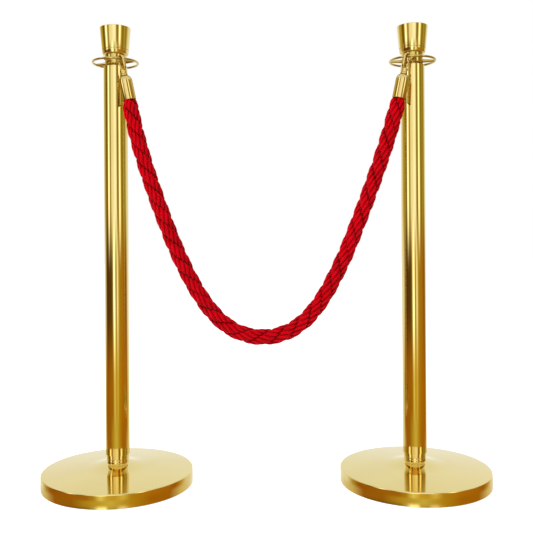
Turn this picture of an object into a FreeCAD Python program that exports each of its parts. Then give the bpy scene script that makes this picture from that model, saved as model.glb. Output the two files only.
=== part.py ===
import FreeCAD, Part
import math
import os

import Sketcher

# A pair of crown-top barrier posts joined by one hanging rope with a sprung snap hook at each end.
# The origin is on the floor, midway between the posts. +Z is up and +X runs along the line of posts.

Vector = FreeCAD.Vector
Rotation = FreeCAD.Rotation
Placement = FreeCAD.Placement

doc = FreeCAD.newDocument("stanchions")
size = doc.addObject("Spreadsheet::Sheet", "size")

DIMENSIONS = {
    # the set
    "post_spacing": 638,
    "small_gap": 0.05,
    "spare": 1,
    # base cover: a spun shell with a low cone, a steeper dome and a flat seat for the post
    "cover_lift": 1.5,
    "base_radius": 160,
    "rim_height": 30,
    "rim_round": 2.5,
    "dome_radius": 58,
    "dome_height": 38.5,
    "seat_radius": 25,
    "seat_height": 47,
    "cover_wall": 1.2,
    # weight and floor ring inside the cover
    "pad_inner": 118,
    "pad_outer": 155,
    "pad_height": 3,
    "weight_radius": 152,
    "weight_height": 15,
    "weight_round": 3,
    "boss_radius": 22,
    "recess_radius": 16,
    "recess_height": 16,
    # M12 bolt from below, with a split and a flat washer
    "bolt_radius": 6,
    "bolt_hole_radius": 6.6,
    "bolt_head_flats": 18,
    "bolt_head_height": 7.5,
    "bolt_end_height": 84,
    "flat_washer_radius": 12,
    "flat_washer_height": 2.5,
    "split_washer_radius": 10,
    "split_washer_height": 3,
    "split_width": 1.5,
    # collar, plugs and tube
    "neck_radius": 23.2,
    "neck_round": 0.8,
    "collar_top": 55.4,
    "tube_foot": 64,
    "tube_top": 892,
    "tube_radius": 25.4,
    "tube_wall": 1.2,
    "tube_round": 0.4,
    "plug_length": 32,
    "plug_blind": 8,
    # ring head
    "hub_radius": 22,
    "hub_top": 918,
    "ring_height": 902,
    "ring_radius": 47.5,
    "wire_radius": 2.5,
    "spoke_root": 4.2,
    "spoke_tip": 2.5,
    "spoke_sink": 4,
    # M10 stud through the hub
    "stud_radius": 5,
    "stud_hole_radius": 5.5,
    "stud_foot": 868,
    "stud_end": 935,
    # crown
    "lip_foot_radius": 24.4,
    "lip_round": 2.6,
    "lip_top_radius": 28.6,
    "seam_height": 928,
    "seam_gap": 0.5,
    "spigot_radius": 26.6,
    "spigot_height": 937,
    "spigot_wall": 2.4,
    "crown_web": 8,
    "crown_boss_radius": 10,
    "crown_wall": 1.8,
    "crown_radius": 32.8,
    "crown_edge_height": 975,
    "crown_round": 1.4,
    "crown_height": 979,
    # rope and ferrules
    "rope_diameter": 31.5,
    "rope_offset": 43.2,
    "ferrule_radius": 14,
    "ferrule_length": 51,
    "ferrule_wall": 1.1,
    "ferrule_flat": 7.3,
    "ferrule_web": 2,
    "rope_tail_drop": 12.5,
    "screw_drop": 38,
    "screw_radius": 1.6,
    "screw_head_radius": 2.6,
    "screw_head_height": 0.9,
    "screw_seat": 0.5,
    "screw_tip": 6.5,
    # snap hook, measured from the middle of the ring's wire down along the rope's end
    "hook_reach": 38.5,
    "hook_turn": 45,
    "hook_half_width": 8.9,
    "hook_thick": 4.2,
    "hook_wide": 6.2,
    "hook_gap": 0.6,
    "hook_nose": 5,
    "hook_shoulder": 17,
    "hook_bend": 12,
    "hook_bend_end": 70,
    "block_radius": 6.2,
    "block_top": 25,
    "block_foot": 34,
    "block_round": 1.5,
    "slot_width": 5.4,
    "slot_wall": 1.0,
    "slot_foot": 31.4,
    "slot_rise": 3,
    # gate, its pin and spring
    "gate_pivot_out": 4.2,
    "gate_pivot_drop": 28,
    "gate_radius": 1.7,
    "gate_boss_radius": 2.9,
    "gate_boss_thick": 2.5,
    "gate_tip_drop": 7.3,
    "gate_bar_start": 2.3,
    "gate_boss_offset": 0.2,
    "gate_pin_radius": 1.2,
    "gate_pin_length": 11.4,
    "spring_radius": 1.75,
    "spring_wire": 0.25,
    "spring_pitch": 0.65,
    "spring_turns": 3,
    "spring_offset": 0.5,
    # swivel
    "swivel_radius": 3,
    "swivel_top": 31,
    "swivel_head_radius": 5.5,
    "swivel_head_height": 2.8,
    "swivel_play": 0.15,
    "collar_radius": 7.2,
    "collar_height": 4.3,
    "collar_round": 1.4,
}

# Each post is turned on the floor by itself, so its spokes point their own way (degrees from +X).
SPOKE_ANGLE = {"left": -20, "right": -5}
SPOKE_COUNT = 4

# The rope's route in the plane y = -rope_offset: tangent points (x, z) from the left ferrule's mouth
# to the right one. It hangs as a catenary, steep at the ends and tight in the middle.
ROPE_ROUTE = [
    (-281.5, 814.2),
    (-265.9, 737),
    (-205, 562),
    (-158, 452),
    (-112, 374),
    (-61, 328.5),
    (0, 313.5),
    (61, 328.5),
    (112, 374),
    (158, 452),
    (205, 562),
    (265.9, 737),
    (281.5, 814.2),
]
ARC_SHARE = 0.45

for row, (alias, number) in enumerate(DIMENSIONS.items(), start=1):
    size.set(f"A{row}", alias)
    size.set(f"B{row}", str(number))
    size.setAlias(f"B{row}", alias)
doc.recompute()

SIDES = {"left": -1, "right": 1}
sub_parts = []
cuts = []


def dim(name):
    """The sheet's value for an alias, as a plain number."""
    return float(getattr(size, name))


def bound(text):
    """An expression over the sheet: each alias gets the sheet's name in front."""
    words = []
    word = ""
    for letter in text + " ":
        if letter.isalnum() or letter == "_":
            word += letter
            continue
        words.append(f"size.{word}" if word in DIMENSIONS else word)
        words.append(letter)
        word = ""
    return "".join(words).strip()


def number_of(text):
    """The number that an expression over the sheet comes to."""
    result = size.evalExpression(bound(text).replace("size.", ""))
    return float(getattr(result, "Value", result))


def finish(obj, label):
    """Give a finished sub-part the name of its file."""
    obj.Label = label
    sub_parts.append(obj)
    return obj


# ---- sketches and bodies -----------------------------------------------------------------------


def origin_plane(body, role):
    for feature in body.Origin.OriginFeatures:
        if feature.Role == role:
            return feature
    raise ValueError(role)


def new_body(label):
    body = doc.addObject("PartDesign::Body", label)
    return finish(body, label)


def new_sketch(body, role, lift="0"):
    sketch = body.newObject("Sketcher::SketchObject", "sketch")
    sketch.AttachmentSupport = [(origin_plane(body, role), "")]
    sketch.MapMode = "FlatFace"
    if lift != "0":
        sketch.setExpression("AttachmentOffset.Base.z", bound(lift))
    return sketch


def fix_point(sketch, element, place, across, up):
    """Hold one point of a sketch at two expressions, or on an axis where one is zero."""
    for kind, text, axis in (("DistanceX", across, -2), ("DistanceY", up, -1)):
        number = number_of(text)
        if number == 0:
            sketch.addConstraint(Sketcher.Constraint("PointOnObject", element, place, axis))
            continue
        index = sketch.addConstraint(Sketcher.Constraint(kind, -1, 1, element, place, number))
        sketch.setExpression(f"Constraints[{index}]", bound(text))


def arc_between(start, end, radius, side):
    """An arc of the given radius between two points; side is 1 with its centre on the left."""
    chord = end - start
    normal = Vector(-chord.y, chord.x, 0).normalize() * side
    centre = (start + end) * 0.5 + normal * math.sqrt(radius**2 - (chord.Length / 2) ** 2)
    first, last = (start, end) if side > 0 else (end, start)
    angles = [math.atan2(p.y - centre.y, p.x - centre.x) for p in (first, last)]
    circle = Part.Circle(centre, Vector(0, 0, 1), radius)
    return Part.ArcOfCircle(circle, angles[0], angles[1])


def draw(sketch, outline, closed=True):
    """Draw an outline of points (across, up). A point with two more values, (radius, side), is
    reached by an arc of that radius. The last point of a closed outline joins the first."""
    points = [Vector(number_of(p[0]), number_of(p[1]), 0) for p in outline]
    steps = len(points) if closed else len(points) - 1
    ends = []
    for i in range(steps):
        target = outline[(i + 1) % len(points)]
        start, end = points[i], points[(i + 1) % len(points)]
        if len(target) == 2:
            element = sketch.addGeometry(Part.LineSegment(start, end), False)
            ends.append((element, 1, 2))
            continue
        radius, side = target[2], target[3]
        element = sketch.addGeometry(arc_between(start, end, number_of(radius), side), False)
        ends.append((element, 1, 2) if side > 0 else (element, 2, 1))
        index = sketch.addConstraint(Sketcher.Constraint("Radius", element, number_of(radius)))
        sketch.setExpression(f"Constraints[{index}]", bound(radius))
    for i in range(steps):
        if i + 1 < steps or closed:
            here, after = ends[i], ends[(i + 1) % steps]
            sketch.addConstraint(
                Sketcher.Constraint("Coincident", here[0], here[2], after[0], after[1])
            )
        fix_point(sketch, ends[i][0], ends[i][1], outline[i][0], outline[i][1])
    if not closed:
        fix_point(sketch, ends[-1][0], ends[-1][2], outline[-1][0], outline[-1][1])
    return sketch


def revolve(body, outline, cut=False):
    """Turn an outline of (radius, height) points about the body's Z axis."""
    sketch = draw(new_sketch(body, "XZ_Plane"), outline)
    kind = "PartDesign::Groove" if cut else "PartDesign::Revolution"
    feature = body.newObject(kind, "turned")
    feature.Profile = sketch
    feature.ReferenceAxis = (sketch, ["V_Axis"])
    feature.Angle = 360
    return feature


def pocket(body, sketch, label, length, both_ways):
    """Cut a sketch's outline: half the length to each side of it, or all of it against its normal."""
    feature = body.newObject("PartDesign::Pocket", label)
    feature.Profile = sketch
    feature.Midplane = both_ways
    feature.Reversed = False
    feature.setExpression("Length", bound(length))
    return feature


def round_hole(sketch, across, up, radius):
    """A circle in a sketch, its centre and radius held by expressions."""
    centre = Vector(number_of(across), number_of(up), 0)
    circle = Part.Circle(centre, Vector(0, 0, 1), number_of(radius))
    element = sketch.addGeometry(circle)
    index = sketch.addConstraint(Sketcher.Constraint("Radius", element, number_of(radius)))
    sketch.setExpression(f"Constraints[{index}]", bound(radius))
    fix_point(sketch, element, 3, across, up)


def expect_cut(feature, volume, least, most):
    """Note what a cut should take away, in mm3, and the share of it that is let pass."""
    cuts.append((feature, volume * least, volume * most))


def lathe(label, outline):
    body = new_body(label)
    revolve(body, outline)
    return body


# ---- one post ----------------------------------------------------------------------------------


def base_parts(side):
    yield lathe(
        f"{side}_base_cover",
        [
            ("base_radius", "cover_lift"),
            ("base_radius", "rim_height - rim_round"),
            ("base_radius - rim_round", "rim_height", "rim_round", 1),
            ("dome_radius", "dome_height"),
            ("seat_radius", "seat_height"),
            ("bolt_hole_radius", "seat_height"),
            ("bolt_hole_radius", "seat_height - cover_wall"),
            ("seat_radius", "seat_height - cover_wall"),
            ("dome_radius", "dome_height - cover_wall"),
            ("base_radius - rim_round", "rim_height - cover_wall"),
            ("base_radius - cover_wall", "rim_height - rim_round", "rim_round - cover_wall", -1),
            ("base_radius - cover_wall", "cover_lift"),
        ],
    )
    yield lathe(
        f"{side}_base_weight",
        [
            ("recess_radius", "pad_height"),
            ("weight_radius", "pad_height"),
            ("weight_radius", "weight_height - weight_round"),
            ("weight_radius - weight_round", "weight_height", "weight_round", 1),
            ("boss_radius", "weight_height"),
            ("boss_radius", "seat_height - cover_wall"),
            ("bolt_hole_radius", "seat_height - cover_wall"),
            ("bolt_hole_radius", "recess_height"),
            ("recess_radius", "recess_height"),
        ],
    )
    yield lathe(
        f"{side}_base_pad",
        [
            ("pad_inner", "0"),
            ("pad_outer", "0"),
            ("pad_outer", "pad_height"),
            ("pad_inner", "pad_height"),
        ],
    )
    yield lathe(
        f"{side}_base_collar",
        [
            ("bolt_hole_radius", "seat_height"),
            ("neck_radius", "seat_height"),
            ("neck_radius", "collar_top - neck_round"),
            ("neck_radius - neck_round", "collar_top", "neck_round", 1),
            ("bolt_hole_radius", "collar_top"),
        ],
    )


def bolt_parts(side):
    washer_top = "recess_height"
    split_top = "recess_height - flat_washer_height"
    head_top = "recess_height - flat_washer_height - split_washer_height"
    yield lathe(
        f"{side}_base_flat_washer",
        [
            ("bolt_hole_radius", split_top),
            ("flat_washer_radius", split_top),
            ("flat_washer_radius", washer_top),
            ("bolt_hole_radius", washer_top),
        ],
    )
    spring_washer = lathe(
        f"{side}_base_spring_washer",
        [
            ("bolt_hole_radius", head_top),
            ("split_washer_radius", head_top),
            ("split_washer_radius", split_top),
            ("bolt_hole_radius", split_top),
        ],
    )
    gap = new_sketch(spring_washer, "XY_Plane")
    draw(
        gap,
        [
            ("0", "-split_width / 2"),
            ("flat_washer_radius", "-split_width / 2"),
            ("flat_washer_radius", "split_width / 2"),
            ("0", "split_width / 2"),
        ],
    )
    split = pocket(spring_washer, gap, "split", "4 * recess_height", both_ways=True)
    ring_width = dim("split_washer_radius") - dim("bolt_hole_radius")
    expect_cut(split, dim("split_width") * ring_width * dim("split_washer_height"), 0.97, 1.03)
    yield spring_washer

    head = doc.addObject("Part::Prism", "bolt_head")
    head.Polygon = 6
    head.setExpression("Circumradius", "size.bolt_head_flats / sqrt(3)")
    head.setExpression("Height", "size.bolt_head_height")
    head.setExpression("Placement.Base.z", bound(f"{head_top} - bolt_head_height"))
    shank = doc.addObject("Part::Cylinder", "bolt_shank")
    shank.setExpression("Radius", "size.bolt_radius")
    shank.setExpression("Height", bound(f"bolt_end_height - ({head_top}) + spare"))
    shank.setExpression("Placement.Base.z", bound(f"{head_top} - spare"))
    yield fused(f"{side}_base_bolt", [head, shank])


def tube_parts(side):
    bore = "tube_radius - tube_wall"
    plug = "tube_radius - tube_wall - small_gap"
    yield lathe(
        f"{side}_bottom_plug",
        [
            ("bolt_radius + small_gap", "collar_top"),
            ("neck_radius - neck_round", "collar_top"),
            ("neck_radius", "collar_top + neck_round", "neck_round", 1),
            ("neck_radius", "tube_foot"),
            (plug, "tube_foot"),
            (plug, "tube_foot + plug_length"),
            ("0", "tube_foot + plug_length"),
            ("0", "tube_foot + plug_length - plug_blind"),
            ("bolt_radius + small_gap", "tube_foot + plug_length - plug_blind"),
        ],
    )
    yield lathe(
        f"{side}_post_tube",
        [
            (bore, "tube_foot"),
            ("tube_radius - tube_round", "tube_foot"),
            ("tube_radius", "tube_foot + tube_round", "tube_round", 1),
            ("tube_radius", "tube_top - tube_round"),
            ("tube_radius - tube_round", "tube_top", "tube_round", 1),
            (bore, "tube_top"),
        ],
    )
    yield lathe(
        f"{side}_top_plug",
        [
            ("stud_radius + small_gap", "tube_top - plug_length"),
            (plug, "tube_top - plug_length"),
            (plug, "tube_top"),
            ("stud_radius + small_gap", "tube_top"),
        ],
    )


def head_parts(side):
    yield ring_head(side)
    stud = doc.addObject("Part::Cylinder", "stud")
    stud.setExpression("Radius", "size.stud_radius")
    stud.setExpression("Height", "size.stud_end - size.stud_foot")
    stud.setExpression("Placement.Base.z", "size.stud_foot")
    yield finish(stud, f"{side}_head_stud")
    web_top = "hub_top + crown_web"
    yield lathe(
        f"{side}_crown_base",
        [
            ("stud_radius + small_gap", "hub_top"),
            ("lip_foot_radius", "hub_top"),
            ("lip_foot_radius + lip_round", "hub_top + lip_round", "lip_round", 1),
            ("lip_top_radius", "seam_height"),
            ("spigot_radius", "seam_height"),
            ("spigot_radius", "spigot_height"),
            ("spigot_radius - spigot_wall", "spigot_height"),
            ("spigot_radius - spigot_wall", web_top),
            ("crown_boss_radius", web_top),
            ("crown_boss_radius", "spigot_height"),
            ("stud_radius + small_gap", "spigot_height"),
        ],
    )
    slope = "(crown_radius - lip_top_radius) / (crown_edge_height - seam_height)"
    reach = "(crown_radius - crown_round)"
    rise = "(crown_height - crown_edge_height - crown_round)"
    dome = f"({reach} ^ 2 + {rise} ^ 2) / (2 * {rise})"
    foot_inner = "spigot_radius + small_gap"
    roof = "crown_edge_height - crown_wall"
    step = "(crown_edge_height - seam_height) * 0.65"
    yield lathe(
        f"{side}_crown_shell",
        [
            (foot_inner, "seam_height + seam_gap"),
            ("lip_top_radius", "seam_height + seam_gap"),
            ("crown_radius", "crown_edge_height"),
            ("crown_radius - crown_round", "crown_edge_height + crown_round", "crown_round", 1),
            ("0", "crown_height", dome, 1),
            ("0", "crown_height - crown_wall"),
            ("crown_radius - crown_wall", roof),
            (f"crown_radius - crown_wall - {step} * {slope}", f"{roof} - {step}"),
        ],
    )


def ring_head(side):
    hub = doc.addObject("Part::Cylinder", "hub")
    hub.setExpression("Radius", "size.hub_radius")
    hub.setExpression("Height", "size.hub_top - size.tube_top")
    hub.setExpression("Placement.Base.z", "size.tube_top")
    wire = doc.addObject("Part::Torus", "wire")
    wire.setExpression("Radius1", "size.ring_radius")
    wire.setExpression("Radius2", "size.wire_radius")
    wire.setExpression("Placement.Base.z", "size.ring_height")
    pieces = [hub, wire]
    for i in range(SPOKE_COUNT):
        angle = math.radians(SPOKE_ANGLE[side] + i * 360 / SPOKE_COUNT)
        outward = Vector(math.cos(angle), math.sin(angle), 0)
        spoke = doc.addObject("Part::Cone", "spoke")
        spoke.setExpression("Radius1", "size.spoke_root")
        spoke.setExpression("Radius2", "size.spoke_tip")
        spoke.setExpression("Height", "size.ring_radius - size.hub_radius + size.spoke_sink")
        spoke.Placement = Placement(
            outward * (dim("hub_radius") - dim("spoke_sink")) + Vector(0, 0, dim("ring_height")),
            Rotation(Vector(0, 0, 1), outward),
        )
        pieces.append(spoke)
    solid = doc.addObject("Part::MultiFuse", "ring_casting")
    solid.Shapes = pieces
    hole = doc.addObject("Part::Cylinder", "stud_hole")
    hole.setExpression("Radius", "size.stud_hole_radius")
    hole.setExpression("Height", "size.hub_top - size.tube_top + 2 * size.spare")
    hole.setExpression("Placement.Base.z", "size.tube_top - size.spare")
    return cut(f"{side}_ring_head", solid, [hole])


def fused(label, pieces):
    solid = doc.addObject("Part::MultiFuse", label)
    solid.Shapes = pieces
    return finish(solid, label)


def cut(label, base, tools):
    for tool in tools[:-1]:
        step = doc.addObject("Part::Cut", "cut_step")
        step.Base = base
        step.Tool = tool
        base = step
    solid = doc.addObject("Part::Cut", label)
    solid.Base = base
    solid.Tool = tools[-1]
    return finish(solid, label)


def make_post(side):
    for maker in (base_parts, bolt_parts, tube_parts, head_parts):
        for piece in maker(side):
            piece.setExpression("Placement.Base.x", f"{SIDES[side]} * size.post_spacing / 2")


# ---- the rope ----------------------------------------------------------------------------------


def route_points():
    return [Vector(x, -dim("rope_offset"), z) for x, z in ROPE_ROUTE]


def rounded_path(points):
    """Straight runs joined by tangent arcs, each as large as its two runs allow."""
    edges = []
    radii = []
    here = points[0]
    for before, corner, after in zip(points, points[1:], points[2:]):
        back = before - corner
        ahead = after - corner
        turn = math.pi - back.getAngle(ahead)
        reach = ARC_SHARE * min(back.Length, ahead.Length)
        radii.append(reach / math.tan(turn / 2))
        start = corner + back.normalize() * reach
        end = corner + ahead.normalize() * reach
        inward = (back + ahead).normalize()
        middle = corner + inward * (radii[-1] / math.cos(turn / 2) - radii[-1])
        edges.append(Part.LineSegment(here, start).toShape())
        edges.append(Part.Arc(start, middle, end).toShape())
        here = end
    edges.append(Part.LineSegment(here, points[-1]).toShape())
    return Part.Wire(edges), radii


def end_placement(side, turn=0):
    """The frame of one rope end: its origin in the middle of the ring's wire, +Z up along the
    ferrule's axis. turn is the hook's angle about that axis, in degrees."""
    points = route_points()
    if side == "right":
        points.reverse()
    along = (points[0] - points[1]).normalize()
    contact = points[0] + along * (dim("hook_reach") + dim("ferrule_length"))
    tilt = math.degrees(math.atan2(along.x, along.z))
    spin = Rotation(Vector(0, 1, 0), tilt) * Rotation(Vector(0, 0, 1), turn)
    return Placement(contact, spin)


def make_rope():
    """The whole rope, its two squeezed tails inside the ferrules included."""
    points = route_points()
    path, radii = rounded_path(points)
    radius = dim("rope_diameter") / 2
    disc = Part.Face(Part.Wire(Part.makeCircle(radius, points[0], points[1] - points[0])))
    tube = path.makePipe(disc)
    section = math.pi * radius**2 * path.Length
    print("rope length", round(path.Length, 1), "arc radii", [round(r) for r in radii])
    print("rope volume over section times length", round(tube.Volume / section, 5))
    tail_radius = dim("ferrule_radius") - dim("ferrule_wall") - dim("small_gap")
    tail_length = dim("ferrule_length") - dim("rope_tail_drop")
    solid = tube
    for side in SIDES:
        frame = end_placement(side)
        mouth = -dim("hook_reach") - dim("ferrule_length")
        spare = dim("spare")
        tail = Part.makeCylinder(tail_radius, tail_length + spare, Vector(0, 0, mouth - spare))
        tail = tail.cut(screw_shape(dim("screw_radius") + dim("small_gap")))
        tail.Placement = frame
        solid = solid.fuse(tail)
    rope = doc.addObject("Part::Feature", "rope")
    rope.Shape = solid.removeSplitter()
    finish(rope, "rope")


def screw_shape(radius):
    """The ferrule screw's shank, pointing back through the wall."""
    height = -dim("hook_reach") - dim("screw_drop")
    start = Vector(0, dim("screw_tip") - dim("small_gap"), height)
    length = dim("ferrule_radius") - dim("screw_seat") - start.y
    return Part.makeCylinder(radius, length, start, Vector(0, 1, 0))


def along_y(kind, label, drop, start, length, **sizes):
    """A round primitive whose axis lies along +Y of a rope end's frame."""
    piece = doc.addObject(kind, label)
    for name, text in sizes.items():
        piece.setExpression(name, bound(text))
    piece.setExpression("Height", bound(length))
    piece.Placement = Placement(
        Vector(0, number_of(start), -number_of(drop)), Rotation(Vector(0, 0, 1), Vector(0, 1, 0))
    )
    return piece


def ferrule_parts(side):
    """The bullet-shaped ferrule, the collar on its top and the screw that holds the rope."""
    mouth = "-hook_reach - ferrule_length"
    inner = "ferrule_radius - ferrule_wall"
    centre = "-hook_reach - sqrt(ferrule_radius ^ 2 - ferrule_flat ^ 2)"
    web = "-hook_reach - ferrule_web"
    web_radius = f"sqrt(({inner}) ^ 2 - (({web}) - ({centre})) ^ 2)"
    ferrule = lathe(
        f"{side}_ferrule",
        [
            (inner, mouth),
            ("ferrule_radius", mouth),
            ("ferrule_radius", centre),
            ("ferrule_flat", "-hook_reach", "ferrule_radius", 1),
            ("swivel_radius + 2 * small_gap", "-hook_reach"),
            ("swivel_radius + 2 * small_gap", web),
            (web_radius, web),
            (inner, centre, inner, -1),
        ],
    )
    shank_radius = "screw_radius + small_gap"
    head_radius = "screw_head_radius + small_gap"
    seat = "-(ferrule_radius - screw_seat)"
    shank_area = math.pi * number_of(shank_radius) ** 2
    ring_area = math.pi * number_of(head_radius) ** 2 - shank_area
    for radius, lift, volume in (
        (shank_radius, "0", shank_area * dim("ferrule_wall")),
        (head_radius, seat, ring_area * dim("screw_seat")),
    ):
        circle = new_sketch(ferrule, "XZ_Plane", lift)
        round_hole(circle, "0", "-hook_reach - screw_drop", radius)
        hole = pocket(ferrule, circle, "screw_hole", "ferrule_radius + spare", both_ways=False)
        expect_cut(hole, volume, 0.5, 1.1)
    yield ferrule, 0

    shank = along_y(
        "Part::Cylinder", "shank", "hook_reach + screw_drop", "screw_tip",
        "ferrule_radius - screw_seat - screw_tip", Radius="screw_radius",
    )
    head = along_y(
        "Part::Cylinder", "head", "hook_reach + screw_drop", "ferrule_radius - screw_seat",
        "screw_head_height", Radius="screw_head_radius",
    )
    yield fused(f"{side}_ferrule_screw", [shank, head]), 0

    yield lathe(
        f"{side}_swivel_collar",
        [
            ("swivel_radius + 2 * small_gap", "-hook_reach"),
            ("collar_radius - collar_round", "-hook_reach"),
            ("collar_radius", "-hook_reach + collar_round", "collar_round", 1),
            ("collar_radius", "-hook_reach + collar_height - collar_round"),
            ("collar_radius - collar_round", "-hook_reach + collar_height", "collar_round", 1),
            ("swivel_radius + 2 * small_gap", "-hook_reach + collar_height"),
        ],
    ), 0


def hook_parts(side):
    """The snap hook with its swivel pin, the sprung gate, its pin and its spring."""
    turn = -dim("hook_turn") if side == "left" else dim("hook_turn") - 180
    yield hook_body(side), turn

    head_top = "-hook_reach - ferrule_web - swivel_play"
    yield lathe(
        f"{side}_swivel_pin",
        [
            ("0", f"{head_top} - swivel_head_height"),
            ("swivel_head_radius", f"{head_top} - swivel_head_height"),
            ("swivel_head_radius", head_top),
            ("swivel_radius", head_top),
            ("swivel_radius", "-swivel_top"),
            ("0", "-swivel_top"),
        ],
    ), turn

    bar = doc.addObject("Part::Cylinder", "bar")
    pivot = Vector(-dim("gate_pivot_out"), 0, -dim("gate_pivot_drop"))
    tip = Vector(-dim("hook_half_width"), 0, -dim("gate_tip_drop"))
    start = dim("gate_bar_start")
    bar.setExpression("Radius", "size.gate_radius")
    bar.setExpression(
        "Height",
        f"sqrt((size.hook_half_width - size.gate_pivot_out) ^ 2"
        f" + (size.gate_pivot_drop - size.gate_tip_drop) ^ 2) - size.gate_bar_start",
    )
    direction = (tip - pivot).normalize()
    bar.Placement = Placement(pivot + direction * start, Rotation(Vector(0, 0, 1), direction))
    cap = doc.addObject("Part::Sphere", "cap")
    cap.setExpression("Radius", "size.gate_radius")
    cap.Placement = Placement(tip, Rotation())
    boss = along_y(
        "Part::Cylinder", "boss", "gate_pivot_drop", "-slot_width / 2 + gate_boss_offset",
        "gate_boss_thick", Radius="gate_boss_radius",
    )
    eye = along_y(
        "Part::Cylinder", "eye", "gate_pivot_drop", "-slot_width / 2", "slot_width",
        Radius="gate_pin_radius + small_gap",
    )
    pin = along_y(
        "Part::Cylinder", f"{side}_gate_pin", "gate_pivot_drop", "-gate_pin_length / 2",
        "gate_pin_length", Radius="gate_pin_radius",
    )
    for piece in (boss, eye, pin):
        piece.Placement.Base.x = pivot.x
    gate = doc.addObject("Part::MultiFuse", "gate_blank")
    gate.Shapes = [bar, cap, boss]
    yield cut(f"{side}_hook_gate", gate, [eye]), turn
    yield finish(pin, f"{side}_gate_pin"), turn
    yield gate_spring(side), turn


def hook_body(side):
    body = new_body(f"{side}_hook_body")
    top_centre = "-(hook_half_width - hook_thick / 2 - wire_radius - hook_gap)"
    bend_across = "hook_half_width - hook_bend + hook_bend * cos(hook_bend_end * 1 deg)"
    bend_up = "-hook_shoulder - hook_bend * sin(hook_bend_end * 1 deg)"
    spine = new_sketch(body, "XZ_Plane")
    draw(
        spine,
        [
            ("-hook_half_width", "-hook_nose"),
            ("-hook_half_width", top_centre),
            ("0", f"{top_centre} + hook_half_width", "hook_half_width", -1),
            ("hook_half_width", top_centre, "hook_half_width", -1),
            ("hook_half_width", "-hook_shoulder"),
            (bend_across, bend_up, "hook_bend", -1),
        ],
        closed=False,
    )
    section = new_sketch(body, "XY_Plane", "-hook_nose")
    centre = Vector(-dim("hook_half_width"), 0, 0)
    wide = dim("hook_wide") / 2
    thick = dim("hook_thick") / 2
    ellipse = Part.Ellipse(centre + Vector(0, wide, 0), centre + Vector(thick, 0, 0), centre)
    section.addGeometry(ellipse, False)
    bar = body.newObject("PartDesign::AdditivePipe", "bar")
    bar.Profile = section
    bar.Spine = (spine, ["Edge1", "Edge2", "Edge3", "Edge4", "Edge5"])
    revolve(
        body,
        [
            ("0", "-block_foot"),
            ("block_radius", "-block_foot"),
            ("block_radius", "-block_top - block_round"),
            ("block_radius - block_round", "-block_top", "block_round", 1),
            ("0", "-block_top"),
        ],
    )
    bore = revolve(
        body,
        [
            ("0", "-block_foot - spare"),
            ("swivel_radius", "-block_foot - spare"),
            ("swivel_radius", "-swivel_top"),
            ("0", "-swivel_top"),
        ],
        cut=True,
    )
    bore_length = dim("block_foot") - dim("swivel_top")
    expect_cut(bore, math.pi * dim("swivel_radius") ** 2 * bore_length, 0.99, 1.01)
    outline = draw(
        new_sketch(body, "XZ_Plane"),
        [
            ("-block_radius - 2 * spare", "-slot_foot"),
            ("-slot_wall", "-slot_foot"),
            ("-slot_wall", "-block_top + slot_rise"),
            ("-block_radius - 2 * spare", "-block_top + slot_rise"),
        ],
    )
    slot = pocket(body, outline, "slot", "slot_width", both_ways=True)
    slot_area = (dim("block_radius") - dim("slot_wall")) * (dim("slot_foot") - dim("block_top"))
    expect_cut(slot, slot_area * dim("slot_width"), 0.75, 1.1)
    hole = new_sketch(body, "XZ_Plane")
    round_hole(hole, "-gate_pivot_out", "-gate_pivot_drop", "gate_pin_radius")
    drilled = pocket(body, hole, "pin_hole", "4 * block_radius", both_ways=True)
    chord = 2 * math.sqrt(dim("block_radius") ** 2 - dim("gate_pivot_out") ** 2)
    walls = chord - dim("slot_width")
    expect_cut(drilled, math.pi * dim("gate_pin_radius") ** 2 * walls, 0.85, 1.1)
    return body


def gate_spring(side):
    """The torsion spring's coil, on the gate pin beside the gate's boss."""
    pitch = dim("spring_pitch")
    coil = doc.addObject("Part::Helix", "coil")
    coil.setExpression("Pitch", "size.spring_pitch")
    coil.setExpression("Height", "size.spring_pitch * size.spring_turns")
    coil.setExpression("Radius", "size.spring_radius")
    wire = doc.addObject("Part::Circle", "spring_wire")
    wire.setExpression("Radius", "size.spring_wire")
    slope = math.degrees(math.atan2(pitch, 2 * math.pi * dim("spring_radius")))
    wire.Placement = Placement(
        Vector(dim("spring_radius"), 0, 0), Rotation(Vector(1, 0, 0), 90 + slope)
    )
    spring = doc.addObject("Part::Sweep", f"{side}_gate_spring")
    spring.Sections = [wire]
    spring.Spine = (coil, [])
    spring.Solid = True
    spring.Frenet = True
    return finish(spring, f"{side}_gate_spring")


def make_rope_end(side):
    for maker in (ferrule_parts, hook_parts):
        for piece, turn in maker(side):
            local = piece.Placement
            if piece.Label.endswith("gate_spring"):
                start = Vector(
                    -dim("gate_pivot_out"), dim("spring_offset"), -dim("gate_pivot_drop")
                )
                local = Placement(start, Rotation(Vector(0, 0, 1), Vector(0, 1, 0)))
            piece.Placement = end_placement(side, turn) * local


for post_side in SIDES:
    make_post(post_side)
for rope_side in SIDES:
    make_rope_end(rope_side)
make_rope()
doc.recompute()

# ---- check and write ---------------------------------------------------------------------------

for obj in doc.Objects:
    if "Invalid" in obj.State or "Error" in obj.State:
        raise RuntimeError(f"{obj.Name} ({obj.Label}): {obj.State}")
for piece in sub_parts:
    shape = piece.Shape
    if shape.isNull() or not shape.isValid() or not shape.Solids:
        raise RuntimeError(f"{piece.Label} has no valid solid")
for feature, least, most in cuts:
    taken = feature.BaseFeature.Shape.Volume - feature.Shape.Volume
    if not least <= taken <= most:
        raise RuntimeError(f"{feature.Name} takes {taken:.2f} mm3, not {least:.2f} to {most:.2f}")
print(len(cuts), "cuts take the volume they should")

os.makedirs("parts", exist_ok=True)
for piece in sub_parts:
    piece.Shape.exportStep(f"parts/{piece.Label}.step")
print(len(sub_parts), "sub-parts written")
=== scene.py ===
import math

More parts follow.
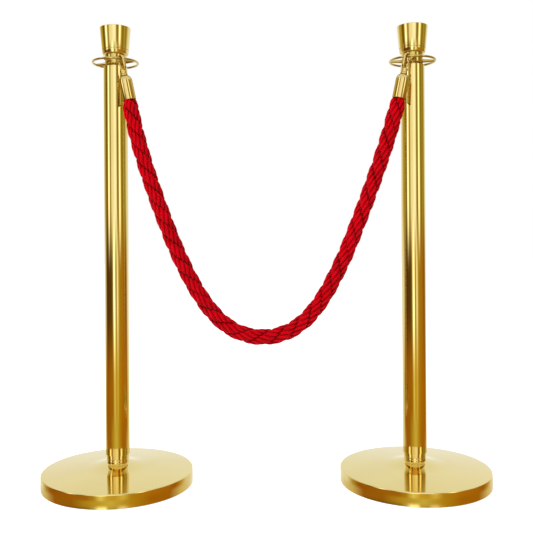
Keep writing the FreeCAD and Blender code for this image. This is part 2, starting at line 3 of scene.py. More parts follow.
import bmesh
import bpy
import numpy as np
from mathutils import Matrix, Vector


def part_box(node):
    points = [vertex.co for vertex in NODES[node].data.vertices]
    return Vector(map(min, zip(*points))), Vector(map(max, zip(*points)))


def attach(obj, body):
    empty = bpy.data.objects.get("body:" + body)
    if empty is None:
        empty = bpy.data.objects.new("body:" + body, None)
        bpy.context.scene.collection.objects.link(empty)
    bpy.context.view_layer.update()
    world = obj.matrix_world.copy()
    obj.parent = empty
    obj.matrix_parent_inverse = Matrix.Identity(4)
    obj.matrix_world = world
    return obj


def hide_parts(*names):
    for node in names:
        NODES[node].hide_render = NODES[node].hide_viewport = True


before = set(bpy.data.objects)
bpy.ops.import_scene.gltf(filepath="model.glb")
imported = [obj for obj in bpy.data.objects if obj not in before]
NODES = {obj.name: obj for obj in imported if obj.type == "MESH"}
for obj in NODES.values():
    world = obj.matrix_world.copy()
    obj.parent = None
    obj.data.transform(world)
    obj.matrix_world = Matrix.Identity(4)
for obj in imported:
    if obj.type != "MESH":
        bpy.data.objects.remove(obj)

np.random.seed(7)
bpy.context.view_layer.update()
SIDES = ("left", "right")
MM = 0.001

# ---- places and sizes, in metres -----------------------------------------------------------------

POST_X = {side: sum(corner.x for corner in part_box(f"{side}_post_tube")) / 2 for side in SIDES}
ROPE_Y = -0.0432
ROPE_DIAMETER = 0.0315

# The control points, across and up, of the rope's line between the two ferrules' mouths. It hangs
# a few millimetres to the left of the middle.
ROPE_ROUTE = [
    (-0.2815, 0.8142),
    (-0.269, 0.737),
    (-0.211, 0.562),
    (-0.1645, 0.452),
    (-0.118, 0.374),
    (-0.0665, 0.3285),
    (-0.005, 0.3135),
    (0.056, 0.3285),
    (0.1065, 0.374),
    (0.152, 0.452),
    (0.1985, 0.562),
    (0.2615, 0.737),
    (0.2815, 0.8142),
]

# the ferrules lean in as far as this slope, sideways and down
FERRULE_TILT = math.atan2(15.6, 77.2)

# ---- camera --------------------------------------------------------------------------------------

CAMERA_PLACE = (0, -1.565, 0.522)
CAMERA_LENS = 49.2
CAMERA_SENSOR = 36
CAMERA_SHIFT = (0.0027, -0.0516)
CAMERA_ROLL = math.radians(0.36)


def make_camera():
    data = bpy.data.cameras.new("camera")
    data.lens = CAMERA_LENS
    data.sensor_width = CAMERA_SENSOR
    data.shift_x, data.shift_y = CAMERA_SHIFT
    camera = bpy.data.objects.new("camera", data)
    camera.location = CAMERA_PLACE
    camera.rotation_euler = (math.radians(90), 0, 0)
    camera.rotation_euler.rotate_axis("Z", -CAMERA_ROLL)
    bpy.context.scene.collection.objects.link(camera)
    bpy.context.scene.camera = camera


make_camera()

# ---- node helpers --------------------------------------------------------------------------------


def new_material(name):
    material = bpy.data.materials.new(name)
    material.use_nodes = True
    tree = material.node_tree
    shader = tree.nodes["Principled BSDF"]
    return material, tree, shader


def add(tree, kind, **settings):
    node = tree.nodes.new(kind)
    for name, value in settings.items():
        setattr(node, name, value)
    return node


def wire(tree, start, end):
    tree.links.new(start, end)


def noise(tree, where, scale, detail=2.0, roughness=0.5):
    node = add(tree, "ShaderNodeTexNoise")
    node.inputs["Scale"].default_value = scale
    node.inputs["Detail"].default_value = detail
    node.inputs["Roughness"].default_value = roughness
    wire(tree, where, node.inputs["Vector"])
    return node.outputs["Fac"]


def spread(tree, value, low, high):
    """The value from 0 to 1, spread between low and high."""
    node = add(tree, "ShaderNodeMapRange")
    node.inputs["To Min"].default_value = low
    node.inputs["To Max"].default_value = high
    wire(tree, value, node.inputs["Value"])
    return node.outputs["Result"]


def ramp(tree, value, stops):
    node = add(tree, "ShaderNodeValToRGB")
    elements = node.color_ramp.elements
    while len(elements) < len(stops):
        elements.new(0.5)
    for element, (place, colour) in zip(elements, stops):
        element.position = place
        element.color = (*colour, 1)
    wire(tree, value, node.inputs["Fac"])
    return node.outputs["Color"]


def mix_colours(tree, first, second, blend="MIX", share=None):
    """The two colours blended by the share, or in full without one."""
    node = add(tree, "ShaderNodeMix", data_type="RGBA", blend_type=blend)
    if share:
        wire(tree, share, node.inputs["Factor"])
    else:
        node.inputs["Factor"].default_value = 1
    start, end = (socket for socket in node.inputs if socket.type == "RGBA")
    wire(tree, first, start)
    wire(tree, second, end)
    return next(socket for socket in node.outputs if socket.type == "RGBA")


def times(tree, value, factor):
    node = add(tree, "ShaderNodeMath", operation="MULTIPLY")
    node.inputs[1].default_value = factor
    wire(tree, value, node.inputs[0])
    return node.outputs["Value"]


def bump(tree, shader, height, strength, distance):
    node = add(tree, "ShaderNodeBump")
    node.inputs["Strength"].default_value = strength
    node.inputs["Distance"].default_value = distance
    wire(tree, height, node.inputs["Height"])
    wire(tree, node.outputs["Normal"], shader.inputs["Normal"])


def place_of(tree, stretch=(1, 1, 1)):
    """The piece's own coordinates, stretched."""
    coordinates = add(tree, "ShaderNodeTexCoord")
    mapping = add(tree, "ShaderNodeMapping")
    mapping.inputs["Scale"].default_value = stretch
    wire(tree, coordinates.outputs["Object"], mapping.inputs["Vector"])
    return mapping.outputs["Vector"]


# ---- materials -----------------------------------------------------------------------------------

LINES_PER_METRE = 1300


def turning_lines(tree):
    """Very fine lines round the piece's own axis, as the polishing wheel leaves them."""
    coordinates = add(tree, "ShaderNodeTexCoord")
    split = add(tree, "ShaderNodeSeparateXYZ")
    wire(tree, coordinates.outputs["Object"], split.inputs["Vector"])
    flat = add(tree, "ShaderNodeCombineXYZ")
    wire(tree, split.outputs["X"], flat.inputs["X"])
    wire(tree, split.outputs["Y"], flat.inputs["Y"])
    radius = add(tree, "ShaderNodeVectorMath", operation="LENGTH")
    wire(tree, flat.outputs["Vector"], radius.inputs[0])
    total = add(tree, "ShaderNodeMath", operation="ADD")
    wire(tree, radius.outputs["Value"], total.inputs[0])
    wire(tree, split.outputs["Z"], total.inputs[1])
    node = add(tree, "ShaderNodeTexNoise", noise_dimensions="1D")
    node.inputs["Scale"].default_value = LINES_PER_METRE
    node.inputs["Detail"].default_value = 2
    wire(tree, total.outputs["Value"], node.inputs["W"])
    return node.outputs["Fac"]


def gold_material(name, colour, deep, low, high, edge=(1, 1, 1)):
    """Polished brass plating: fine polishing lines, faint smears and slight colour drift. The
    roughness lies between low and high, and edge tints the glancing reflections."""
    material, tree, shader = new_material(name)
    shader.inputs["Metallic"].default_value = 1
    shader.inputs["Specular Tint"].default_value = (*edge, 1)
    where = place_of(tree)
    drift = noise(tree, where, scale=9, detail=3)
    wire(tree, ramp(tree, drift, [(0.3, deep), (0.7, colour)]), shader.inputs["Base Color"])
    smear = noise(tree, place_of(tree, (1, 1, 0.15)), scale=60, detail=4, roughness=0.6)
    wire(tree, spread(tree, smear, low, high), shader.inputs["Roughness"])
    bump(tree, shader, turning_lines(tree), strength=0.03, distance=0.0001)
    return material


GOLD = gold_material(
    "gold_plate", colour=(0.84, 0.67, 0.275), deep=(0.80, 0.63, 0.245), low=0.03, high=0.09
)
CAST_GOLD = gold_material(
    "gold_plate_cast", colour=(0.66, 0.50, 0.16), deep=(0.54, 0.39, 0.10), low=0.07, high=0.17
)
HOOK_BRASS = gold_material(
    "hook_brass", colour=(0.80, 0.62, 0.25), deep=(0.72, 0.53, 0.19), low=0.05, high=0.14,
    edge=(0.25, 0.18, 0.10),
)


def plain_metal(name, colour, low, high, grain):
    """Dull plated or drawn steel, with its roughness between low and high."""
    material, tree, shader = new_material(name)
    shader.inputs["Metallic"].default_value = 1
    where = place_of(tree)
    tone = noise(tree, where, grain, detail=4)
    dark = tuple(0.75 * c for c in colour)
    wire(tree, ramp(tree, tone, [(0.3, dark), (0.7, colour)]), shader.inputs["Base Color"])
    wire(tree, spread(tree, tone, low, high), shader.inputs["Roughness"])
    bump(tree, shader, noise(tree, where, grain * 8, detail=3), strength=0.1, distance=0.0002)
    return material


ZINC = plain_metal("zinc_steel", (0.62, 0.63, 0.66), low=0.25, high=0.45, grain=300)
SPRING = plain_metal("spring_steel", (0.55, 0.55, 0.57), low=0.2, high=0.35, grain=600)


def iron_material():
    material, tree, shader = new_material("cast_iron")
    where = place_of(tree)
    pits = noise(tree, where, scale=420, detail=6, roughness=0.7)
    stops = [(0.35, (0.012, 0.012, 0.013)), (0.75, (0.035, 0.034, 0.033))]
    wire(tree, ramp(tree, pits, stops), shader.inputs["Base Color"])
    wire(tree, spread(tree, pits, 0.5, 0.8), shader.inputs["Roughness"])
    bump(tree, shader, pits, strength=0.6, distance=0.0006)
    return material


def rubber_material():
    material, tree, shader = new_material("rubber")
    where = place_of(tree)
    grain = noise(tree, where, scale=900, detail=3)
    stops = [(0.3, (0.010, 0.010, 0.010)), (0.8, (0.022, 0.022, 0.021))]
    wire(tree, ramp(tree, grain, stops), shader.inputs["Base Color"])
    wire(tree, spread(tree, grain, 0.65, 0.85), shader.inputs["Roughness"])
    bump(tree, shader, grain, strength=0.25, distance=0.0002)
    return material


IRON = iron_material()
RUBBER = rubber_material()

# how fine the filaments' pattern is, across a yarn and along a metre of it
FILAMENTS_ACROSS = 26
FILAMENTS_ALONG = 110


def rope_material():
    """Bright red polypropylene: fine filaments along each yarn, with shade painted darker down in the
    lay's grooves and between the yarns.
    """
    material, tree, shader = new_material("rope_red")
    uv = add(tree, "ShaderNodeUVMap", uv_map="lay")
    split = add(tree, "ShaderNodeSeparateXYZ")
    wire(tree, uv.outputs["UV"], split.inputs["Vector"])
    filament = add(tree, "ShaderNodeCombineXYZ")
    wire(tree, times(tree, split.outputs["X"], FILAMENTS_ACROSS), filament.inputs["X"])
    wire(tree, times(tree, split.outputs["Y"], FILAMENTS_ALONG), filament.inputs["Y"])
    fibres = noise(tree, filament.outputs["Vector"], scale=1, detail=4, roughness=0.65)
    tone = noise(tree, place_of(tree), scale=45, detail=3)
    red = ramp(tree, tone, [(0.3, (0.46, 0.0003, 0.004)), (0.7, (0.59, 0.0004, 0.0065))])
    # painted shade: the red is painted darker where the rope's mesh marks the lay's grooves and the
    # hollows between yarns
    groove_shade = add(tree, "ShaderNodeAttribute", attribute_name="groove_shade")
    shade = [(0.0, (0.28, 0.15, 0.15)), (0.5, (0.56, 0.50, 0.50)), (1.0, (1, 1, 1))]
    grooves = ramp(tree, groove_shade.outputs["Fac"], shade)
    stripes = ramp(tree, fibres, [(0.3, (0.58, 0.56, 0.56)), (0.62, (1, 1, 1))])
    shaded = mix_colours(tree, red, grooves, "MULTIPLY")
    wire(tree, mix_colours(tree, shaded, stripes, "MULTIPLY"), shader.inputs["Base Color"])
    wire(tree, spread(tree, fibres, 0.42, 0.62), shader.inputs["Roughness"])
    shader.inputs["Specular IOR Level"].default_value = 0.03
    bump(tree, shader, fibres, strength=0.8, distance=0.0009)
    return material


ROPE_RED = rope_material()

# ---- turned pieces -------------------------------------------------------------------------------

ROUND_STEPS = 6
TURNED_STEPS = 160
SHARP_EDGE = math.radians(30)


def smooth_outline(outline):
    """Each point is (radius, height) in mm, or with a third value, a corner rounded over it."""
    points = []
    for i, corner in enumerate(outline):
        here = Vector(corner[:2])
        if len(corner) == 2:
            points.append(here)
            continue
        before = Vector(outline[i - 1][:2]) - here
        after = Vector(outline[(i + 1) % len(outline)][:2]) - here
        start = here + before.normalized() * corner[2]
        end = here + after.normalized() * corner[2]
        for k in range(ROUND_STEPS + 1):
            share = k / ROUND_STEPS
            points.append(start.lerp(here, share).lerp(here.lerp(end, share), share))
    return points


def turned(name, body, node, outline, place, material):
    """A turned piece with its own axis as its origin, which stands for the node."""
    form = bmesh.new()
    rings = []
    for point in smooth_outline(outline):
        radius, height = point.x * MM, point.y * MM
        if radius == 0:
            rings.append([form.verts.new((0, 0, height))] * TURNED_STEPS)
            continue
        ring = []
        for k in range(TURNED_STEPS):
            angle = 2 * math.pi * k / TURNED_STEPS
            ring.append(form.verts.new((radius * math.cos(angle), radius * math.sin(angle), height)))
        rings.append(ring)
    for low, high in zip(rings, rings[1:] + rings[:1]):
        if low[0] is low[1] and high[0] is high[1]:
            continue
        for k in range(TURNED_STEPS):
            after = (k + 1) % TURNED_STEPS
            corners = [low[k], low[after], high[after], high[k]]
            form.faces.new(list(dict.fromkeys(corners)))
    bmesh.ops.recalc_face_normals(form, faces=form.faces)
    mesh = bpy.data.meshes.new(name)
    form.to_mesh(mesh)
    form.free()
    mesh.polygons.foreach_set("use_smooth", [True] * len(mesh.polygons))
    mesh.set_sharp_from_angle(angle=SHARP_EDGE)
    mesh.materials.append(material)
    piece = bpy.data.objects.new(name, mesh)
    piece.matrix_world = place
    bpy.context.scene.collection.objects.link(piece)
    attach(piece, body)
    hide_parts(node)
    return piece


BALL_HEIGHT = -50.45


def ball(radius, start, end, steps):
    """An arc round the centre of the ferrule's round end, between two angles above level."""
    angles = [math.radians(start + (end - start) * k / steps) for k in range(steps + 1)]
    return [(radius * math.cos(a), BALL_HEIGHT + radius * math.sin(a)) for a in angles]


# a ferrule's outline in mm, with its heights from where its hook bears on the ring
FERRULE = [
    (12.9, -89.5), (14, -89.5, 0.35), *ball(14, 0, 57.4, 14), (7.3, -38.5, 0.3), (3.1, -38.5),
    (3.1, -40.5), *ball(12.9, 50.4, 0, 8),
]

# where the right hook bears on its ring; the left one is its mirror image
HOOK_CONTACT = (0.299187, ROPE_Y, 0.901935)


def make_ferrule(side, sign):
    contact = Matrix.Translation((sign * HOOK_CONTACT[0], *HOOK_CONTACT[1:]))
    place = contact @ Matrix.Rotation(sign * FERRULE_TILT, 4, "Y")
    node = f"{side}_ferrule"
    return turned(f"{node}_turned", "rope_line", node, FERRULE, place, HOOK_BRASS)


FERRULES = [make_ferrule("left", -1), make_ferrule("right", 1)]

# ---- the rope ------------------------------------------------------------------------------------

BRASS_NODES = (
    "ferrule_screw", "swivel_collar", "swivel_pin", "hook_body", "hook_gate", "gate_pin",
)

# Three strands lie round the rope's middle. Each goes once round it in a lay, and has its own
# radius outwards (deep) and sideways (wide).
STRANDS = 3
LAY = 0.120
STRAND_RING = 0.0088
STRAND_DEEP = 0.0083
STRAND_WIDE = 0.0112

# Six yarns make a strand's surface and turn the other way. Their radius is a share of the strand's.
YARNS = 6
YARN_BULK = 0.35
YARN_LAY = 0.050
YARN_START = 0.9
YARN_POINTS = 8
RING_POINTS = YARNS * YARN_POINTS

# The rope runs on as a tail inside each ferrule. The squeeze pairs a distance out from a ferrule's
# mouth with the rope's thickness there, as a share of its full one.
STEP = 0.0018
TAIL = 0.012
SQUEEZE = ((-TAIL, 0.70), (0, 0.735), (0.006, 0.91), (0.016, 1.0))

# Each wander has a knot about every so many steps, and a size in radians or metres.
LAY_WANDER = (40, 0.10)
RING_WANDER = (25, 0.00022)
YARN_WANDER = (30, 0.15)

# Painted shade: the grooves are painted dark up to the first share of the rope's radius, and
# painted fully lit from the second more on. The hollows between yarns are painted darker too,
# and keep the last share of that light.
SHADE_FROM = 0.56
SHADE_OVER = 0.38
HOLLOW_SHARE = 0.22
HOLLOW_CURVE = 0.75


def route_line():
    """Points along the route's NURBS spline, at even steps from mouth to mouth."""
    curve = bpy.data.curves.new("route", "CURVE")
    curve.dimensions = "3D"
    spline = curve.splines.new("NURBS")
    spline.points.add(len(ROPE_ROUTE) - 1)
    for point, (x, z) in zip(spline.points, ROPE_ROUTE):
        point.co = (x, ROPE_Y, z, 1)
    spline.order_u = 3
    spline.use_endpoint_u = True
    spline.resolution_u = 40
    holder = bpy.data.objects.new("route", curve)
    bpy.context.scene.collection.objects.link(holder)
    bpy.context.view_layer.update()
    mesh = bpy.data.meshes.new_from_object(holder)
    line = np.array([v.co[:] for v in mesh.vertices])
    bpy.data.objects.remove(holder)
    bpy.data.meshes.remove(mesh)
    run = np.r_[0, np.cumsum(np.linalg.norm(np.diff(line, axis=0), axis=1))]
    count = int(round(run[-1] / STEP))
    even = np.linspace(0, run[-1], count + 1)
    return np.stack([np.interp(even, run, line[:, i]) for i in range(3)], axis=1), run[-1]


def wander(count, every, size):
    """A smooth seeded wander of count values, with a knot about every so many."""
    knots = np.random.uniform(-size, size, count // every + 4)
    at = np.arange(count) / every
    low = at.astype(int)
    share = at - low
    share = share * share * (3 - 2 * share)
    return knots[low] * (1 - share) + knots[low + 1] * share


def with_tails(line):
    """The line carried on straight into both ferrules, and how many steps each tail takes."""
    spare = int(round(TAIL / STEP))
    start = line[0] - (line[1] - line[0]) * np.arange(spare, 0, -1)[:, None]
    end = line[-1] + (line[-1] - line[-2]) * np.arange(1, spare + 1)[:, None]
    return np.vstack([start, line, end]), spare


def yarn_outline():
    """Angles round a strand, and how far out its yarns reach there as a share of its radius."""
    around = np.arange(RING_POINTS) * 2 * math.pi / RING_POINTS
    from_yarn = (around * YARNS / (2 * math.pi) + 0.5) % 1 - 0.5
    off = from_yarn * 2 * math.pi / YARNS
    ring = 1 - YARN_BULK
    return around, ring * np.cos(off) + np.sqrt(YARN_BULK**2 - (ring * np.sin(off)) ** 2)


def strand_rings(strand, centres, run, squeeze):
    """The strand's points, a ring of them for each step, and the painted shade at each: how lit it is
    painted, from 0 to 1.
    """
    count = len(centres)
    tangent = np.gradient(centres, axis=0)
    tangent /= np.linalg.norm(tangent, axis=1)[:, None]
    inward = np.stack([-tangent[:, 2], 0 * tangent[:, 0], tangent[:, 0]], axis=1)
    back = np.cross(tangent, inward)
    around, outline = yarn_outline()
    valley = outline.min()
    crest = (outline - valley) / (1 - valley)
    light = HOLLOW_SHARE + (1 - HOLLOW_SHARE) * crest**HOLLOW_CURVE

    lay_wander = wander(count, *LAY_WANDER)
    ring_wander = wander(count, *RING_WANDER)
    turn = -2 * math.pi * run / LAY + strand * 2 * math.pi / STRANDS + lay_wander
    yarn_turn = 2 * math.pi * run / YARN_LAY + strand * YARN_START + wander(count, *YARN_WANDER)
    rings, groove_shades = [], []
    for j in range(count):
        out = math.cos(turn[j]) * inward[j] + math.sin(turn[j]) * back[j]
        side = -math.sin(turn[j]) * inward[j] + math.cos(turn[j]) * back[j]
        centre = centres[j] + out * (STRAND_RING + ring_wander[j]) * squeeze[j]
        angle = around + yarn_turn[j]
        radial = np.cos(angle) * outline * STRAND_DEEP * squeeze[j]
        lateral = np.sin(angle) * outline * STRAND_WIDE * squeeze[j]
        ring = centre + radial[:, None] * out + lateral[:, None] * side
        rope_radius = ROPE_DIAMETER / 2 * squeeze[j]
        outness = np.linalg.norm(ring - centres[j], axis=1) / rope_radius
        rings.extend(ring.tolist())
        # painted shade: each point's painted share of light, dark in the grooves and in the hollows
        # between yarns
        groove_shades.extend((np.clip((outness - SHADE_FROM) / SHADE_OVER, 0, 1) * light).tolist())
    return rings, groove_shades


def strand_faces(base, run):
    """The strand's side and its two ends, with each corner's place in the lay: yarn and run."""
    faces, uvs = [], []
    for j in range(len(run) - 1):
        for k in range(RING_POINTS):
            after = (k + 1) % RING_POINTS
            low = base + j * RING_POINTS
            high = low + RING_POINTS
            faces.append((low + k, low + after, high + after, high + k))
            here, there = k / YARN_POINTS, (k + 1) / YARN_POINTS
            uvs += [(here, run[j]), (there, run[j]), (there, run[j + 1]), (here, run[j + 1])]
    top = base + (len(run) - 1) * RING_POINTS
    faces.append(tuple(base + k for k in reversed(range(RING_POINTS))))
    faces.append(tuple(top + k for k in range(RING_POINTS)))
    uvs += [(0, 0)] * (2 * RING_POINTS)
    return faces, uvs


def make_rope():
    line, length = route_line()
    centres, spare = with_tails(line)
    run = (np.arange(len(centres)) - spare) * STEP
    squeeze = np.interp(np.minimum(run, length - run), *zip(*SQUEEZE))
    vertices, faces, uvs, groove_shades = [], [], [], []
    for strand in range(STRANDS):
        more_faces, more_uvs = strand_faces(len(vertices), run)
        rings, more_groove_shades = strand_rings(strand, centres, run, squeeze)
        vertices += rings
        groove_shades += more_groove_shades
        faces += more_faces
        uvs += more_uvs
    mesh = bpy.data.meshes.new("rope_strands")
    mesh.from_pydata(vertices, [], faces)
    layer = mesh.uv_layers.new(name="lay")
    layer.data.foreach_set("uv", np.array(uvs, float).ravel())
    # the painted shade, kept on the mesh for the rope's material
    attribute = mesh.attributes.new("groove_shade", "FLOAT", "POINT")
    attribute.data.foreach_set("value", np.array(groove_shades, float))
    mesh.polygons.foreach_set("use_smooth", [True] * len(mesh.polygons))
    mesh.update()
    mesh.materials.append(ROPE_RED)
    rope = bpy.data.objects.new("rope_strands", mesh)
    bpy.context.scene.collection.objects.link(rope)
    rope.visible_glossy = False
    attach(rope, "rope_line")
    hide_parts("rope")


make_rope()

# ---- metal ---------------------------------------------------------------------------------------


def paint(node, material):
    mesh = NODES[node].data
    mesh.materials.clear()
    mesh.materials.append(material)


# outlines in mm
CROWN_TOP = 979
DOME_RISE = 2.6
DOME_RADIUS = 31.4
CROWN_DOME = [(r, CROWN_TOP - DOME_RISE * (r / DOME_RADIUS) ** 2) for r in range(28, -1, -4)]
TURNED_PARTS = {
    "base_cover": [
        (158.8, 1.5), (160, 1.5, 0.4), (160, 30, 2.5), (58, 38.5, 16), (25, 47, 1.2), (6.6, 47),
        (6.6, 45.8), (25, 45.8), (58, 37.3), (158.8, 28.8, 1.3),
    ],
    "base_collar": [(6.6, 47), (23.2, 47), (23.2, 55.4, 0.8), (6.6, 55.4)],
    "bottom_plug": [
        (6.05, 55.4), (23.2, 55.4, 0.8), (23.2, 64), (24.15, 64), (24.15, 96, 0.5), (0, 96),
        (0, 88), (6.05, 88),
    ],
    "post_tube": [(24.2, 64), (25.4, 64, 0.4), (25.4, 892, 0.4), (24.2, 892)],
    "crown_base": [
        (5.05, 918), (26.99, 918, 2.6), (28.6, 928, 0.25), (26.6, 928), (26.6, 937), (24.2, 937),
        (24.2, 921), (5.05, 921),
    ],
    "crown_shell": [
        (26.65, 928.5), (28.6, 928.5, 0.25), (32.92, 976.4, 1.4), *CROWN_DOME, (0, 977.2),
        (31, 973.2), (28.8, 943),
    ],
}


def make_turned_parts():
    for side in SIDES:
        place = Matrix.Translation((POST_X[side], 0, 0))
        for part, outline in TURNED_PARTS.items():
            node = f"{side}_{part}"
            turned(f"{node}_turned", f"{side}_post", node, outline, place, GOLD)


make_turned_parts()

ZINC_NODES = ("top_plug", "head_stud", "base_bolt", "base_spring_washer", "base_flat_washer")
for side in SIDES:
    for group, material in (
        (("ring_head",), CAST_GOLD),
        (BRASS_NODES, HOOK_BRASS),
        (ZINC_NODES, ZINC),
        (("base_weight",), IRON),
        (("base_pad",), RUBBER),
        (("gate_spring",), SPRING),
    ):
        for name in group:
            paint(f"{side}_{name}", material)

# ---- studio --------------------------------------------------------------------------------------

FLOOR_REACH = 14
FLOOR_GLOW = 0.74


def make_floor():
    mesh = bpy.data.meshes.new("floor")
    corners = [(x * FLOOR_REACH, y * FLOOR_REACH, 0) for x, y in ((-1, -1), (1, -1), (1, 1), (-1, 1))]
    mesh.from_pydata(corners, [], [(0, 1, 2, 3)])
    floor = bpy.data.objects.new("floor", mesh)
    bpy.context.scene.collection.objects.link(floor)
    material, tree, shader = new_material("floor")
    grain = noise(tree, place_of(tree), scale=3, detail=2)
    stops = [(0.3, (0.86, 0.86, 0.86)), (0.7, (0.88, 0.88, 0.88))]
    wire(tree, ramp(tree, grain, stops), shader.inputs["Base Color"])
    shader.inputs["Roughness"].default_value = 0.9
    shader.inputs["Emission Color"].default_value = (1, 1, 1, 1)
    shader.inputs["Emission Strength"].default_value = FLOOR_GLOW
    mesh.materials.append(material)
    floor.visible_glossy = False


make_floor()


def area_light(name, place, target, power, width, height):
    """A soft light that lights surfaces but doesn't show in the metal."""
    data = bpy.data.lights.new(name, "AREA")
    data.shape = "RECTANGLE"
    data.energy = power
    data.size = width
    data.size_y = height
    light = bpy.data.objects.new(name, data)
    light.location = place
    direction = Vector(target) - Vector(place)
    light.rotation_euler = direction.to_track_quat("-Z", "Y").to_euler()
    light.visible_glossy = False
    bpy.context.scene.collection.objects.link(light)


area_light("key", (-1.3, -1.6, 2.9), target=(0, 0, 0.5), power=105, width=0.9, height=0.9)
area_light("fill", (2.2, -2.0, 1.2), target=(0, 0, 0.5), power=8, width=1.8, height=1.8)
area_light("top", (0, 0.3, 3.2), target=(0, 0, 0.3), power=15, width=3.0, height=2.0)

SOFT_LIGHT = 0.38

# What a reflection meets, as pairs of a bearing from the front in degrees and a linear colour.
HIGH_BAND = [
    (-180, (0.92, 0.97, 0.98)), (-140, (0.95, 0.97, 0.98)), (-126, (0.62, 0.52, 0.14)),
    (-104, (0.50, 0.38, 0.06)), (-92, (0.18, 0.11, 0.01)), (-78, (0.20, 0.13, 0.01)),
    (-70, (0.9, 0.9, 0.7)), (-62, (2.4, 2.4, 2.4)), (-54, (0.9, 0.85, 0.6)),
    (-46, (0.36, 0.26, 0.08)), (-40, (0.45, 0.35, 0.12)), (-34, (1.05, 1.05, 0.95)),
    (-15, (1.1, 1.1, 1.0)), (0, (1.35, 1.4, 1.7)), (13, (1.15, 1.2, 1.2)),
    (20, (0.36, 0.30, 0.06)), (28, (0.24, 0.15, 0.01)), (36, (0.6, 0.55, 0.3)),
    (45, (2.2, 2.2, 2.0)), (54, (0.8, 0.75, 0.35)), (63, (0.32, 0.24, 0.03)),
    (75, (0.28, 0.2, 0.02)), (84, (0.5, 0.42, 0.1)), (95, (0.34, 0.24, 0.03)),
    (108, (0.42, 0.34, 0.08)), (120, (0.8, 0.8, 0.6)), (135, (0.95, 0.97, 0.98)),
    (180, (0.92, 0.97, 0.98)),
]
MIDDLE_BAND = [
    (-180, (1.0, 1.0, 1.0)), (-132, (1.0, 1.0, 1.0)), (-118, (0.85, 0.8, 0.7)),
    (-104, (0.3, 0.24, 0.15)), (-90, (0.06, 0.025, 0.003)), (-70, (0.12, 0.05, 0.01)),
    (-45, (0.11, 0.055, 0.008)), (-32, (0.2, 0.13, 0.01)), (-24, (0.6, 0.6, 0.5)),
    (-17, (2.2, 2.2, 1.8)), (-8, (2.2, 2.2, 1.9)), (-3, (0.5, 0.42, 0.15)),
    (8, (0.46, 0.37, 0.13)), (14, (1.1, 1.1, 0.9)), (20, (1.3, 1.2, 0.9)),
    (27, (0.65, 0.5, 0.2)), (38, (0.44, 0.28, 0.01)), (55, (0.45, 0.24, 0.01)),
    (68, (0.45, 0.22, 0.02)), (90, (0.36, 0.15, 0.01)), (104, (0.25, 0.12, 0.005)),
    (117, (0.4, 0.2, 0.06)), (128, (0.8, 0.8, 0.7)), (140, (1.0, 1.0, 1.0)),
]
LOW_BAND = [
    (-180, (0.95, 0.95, 0.95)), (-135, (0.9, 0.95, 0.8)), (-118, (0.5, 0.35, 0.08)),
    (-104, (0.36, 0.12, 0.005)), (-60, (0.40, 0.16, 0.008)), (-35, (0.42, 0.18, 0.01)),
    (-24, (0.5, 0.3, 0.02)), (-14, (0.88, 0.8, 0.3)), (-4, (0.68, 0.48, 0.06)),
    (6, (0.62, 0.42, 0.05)), (18, (0.76, 0.6, 0.15)), (30, (0.5, 0.3, 0.02)),
    (60, (0.48, 0.2, 0.005)), (90, (0.44, 0.17, 0.01)), (106, (0.4, 0.13, 0.004)),
    (118, (0.55, 0.3, 0.03)), (135, (0.8, 0.75, 0.5)), (180, (0.95, 0.95, 0.95)),
]
FLOOR_BAND = [
    (-180, (0.95, 0.95, 0.95)), (-120, (0.7, 0.6, 0.3)), (-95, (0.38, 0.15, 0.01)),
    (-60, (0.36, 0.16, 0.01)), (-30, (0.55, 0.38, 0.04)), (0, (0.70, 0.58, 0.14)),
    (30, (0.52, 0.32, 0.02)), (60, (0.42, 0.17, 0.005)), (95, (0.42, 0.17, 0.005)),
    (120, (0.7, 0.6, 0.3)), (180, (0.95, 0.95, 0.95)),
]
ROOF_BAND = [(0, (0.90, 0.94, 0.95)), (180, (0.90, 0.94, 0.95))]
NADIR_BAND = [(0, (0.34, 0.25, 0.08)), (180, (0.34, 0.25, 0.08))]

# From the nadir up, each band takes over between two heights in degrees above level.
BANDS = (
    (MIDDLE_BAND, -52, -40),
    (FLOOR_BAND, -27, -21),
    (LOW_BAND, -19, -16.5),
    (MIDDLE_BAND, -14.5, -6),
    (HIGH_BAND, -3, 4.5),
    (ROOF_BAND, 22, 42),
)


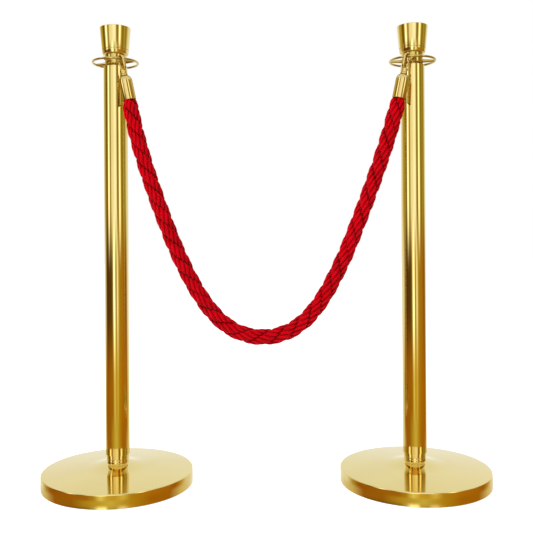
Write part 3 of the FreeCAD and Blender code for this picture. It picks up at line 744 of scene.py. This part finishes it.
def make_world():
    """A soft white studio. Only reflections meet the strip lights, the dark sides and the warm
    floor, which are set out by direction."""
    world = bpy.data.worlds.new("studio")
    bpy.context.scene.world = world
    world.use_nodes = True
    tree = world.node_tree
    tree.nodes.clear()
    output = add(tree, "ShaderNodeOutputWorld")
    path = add(tree, "ShaderNodeLightPath")
    coordinates = add(tree, "ShaderNodeTexCoord")
    split = add(tree, "ShaderNodeSeparateXYZ")
    wire(tree, coordinates.outputs["Generated"], split.inputs["Vector"])
    bearing = add(tree, "ShaderNodeMath", operation="ARCTAN2")
    wire(tree, split.outputs["X"], bearing.inputs[0])
    wire(tree, times(tree, split.outputs["Y"], -1), bearing.inputs[1])
    rise = add(tree, "ShaderNodeMath", operation="ARCSINE")
    wire(tree, split.outputs["Z"], rise.inputs[0])

    def between(value, low, high):
        """0 at the low angle and 1 at the high one, both in degrees."""
        node = add(tree, "ShaderNodeMapRange", interpolation_type="SMOOTHSTEP")
        node.inputs["From Min"].default_value = math.radians(low)
        node.inputs["From Max"].default_value = math.radians(high)
        wire(tree, value, node.inputs["Value"])
        return node.outputs["Result"]

    turn = add(tree, "ShaderNodeMapRange")
    turn.inputs["From Min"].default_value = -math.pi
    turn.inputs["From Max"].default_value = math.pi
    wire(tree, bearing.outputs["Value"], turn.inputs["Value"])

    def around(stops):
        places = [((degrees + 180) / 360, colour) for degrees, colour in stops]
        return ramp(tree, turn.outputs["Result"], places)

    colours = around(NADIR_BAND)
    for band, start, end in BANDS:
        above = between(rise.outputs["Value"], start, end)
        colours = mix_colours(tree, colours, around(band), share=above)

    def background(strength, colour=None):
        node = add(tree, "ShaderNodeBackground")
        node.inputs["Color"].default_value = (1, 1, 1, 1)
        node.inputs["Strength"].default_value = strength
        if colour:
            wire(tree, colour, node.inputs["Color"])
        return node.outputs["Background"]

    def choose(kind, other, same):
        node = add(tree, "ShaderNodeMixShader")
        wire(tree, path.outputs[kind], node.inputs["Fac"])
        wire(tree, other, node.inputs[1])
        wire(tree, same, node.inputs[2])
        return node.outputs["Shader"]

    rest = choose("Is Glossy Ray", background(SOFT_LIGHT), background(1, colours))
    wire(tree, choose("Is Camera Ray", rest, background(1)), output.inputs["Surface"])


make_world()
bpy.context.scene.view_settings.view_transform = "Standard"
bpy.context.scene.view_settings.look = "None"
